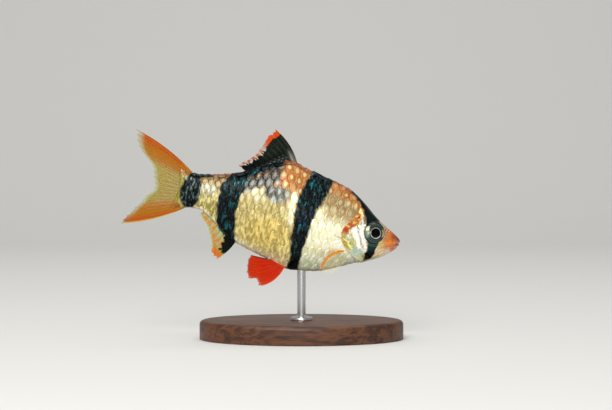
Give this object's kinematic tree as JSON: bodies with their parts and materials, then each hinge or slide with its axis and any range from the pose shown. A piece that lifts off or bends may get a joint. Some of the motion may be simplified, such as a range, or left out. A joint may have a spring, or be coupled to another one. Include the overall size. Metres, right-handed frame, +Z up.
{
  "type": "tiger barb",
  "caption": "Life-size still model of a tiger barb swimming nose down, deep-bodied with dark bars and orange-red fins, held by a rod on an oval base.",
  "frame": {"origin": "centre of the base's flat underside, straight below the rod", "axes": "+X towards the fish's head, +Y towards its left side, +Z up"},
  "size_m": [0.0677, 0.032, 0.0501],
  "materials": {
    "skin": "wet scaly skin, silver and gold with black bars",
    "dark_fin": "black membrane with an orange-red margin",
    "orange_fin": "orange membrane, clear towards the fork",
    "red_fin": "orange-red membrane",
    "clear_fin": "clear membrane with an orange front ray",
    "eye": "glossy, black pupil in a silver ring",
    "stand_wood": "satin, dark stained",
    "stand_steel": "brushed"
  },
  "bodies": {
    "root": {"head": "skin", "trunk": "skin", "tail_stem": "skin", "dorsal_fin": "dark_fin", "anal_fin": "dark_fin", "caudal_fin": "orange_fin", "pelvic_fin_right": "red_fin", "pelvic_fin_left": "red_fin", "pectoral_fin_right": "clear_fin", "pectoral_fin_left": "clear_fin", "eye_right": "eye", "eye_left": "eye", "stand_base": "stand_wood", "stand_rod": "stand_steel"}
  },
  "joints": []
}
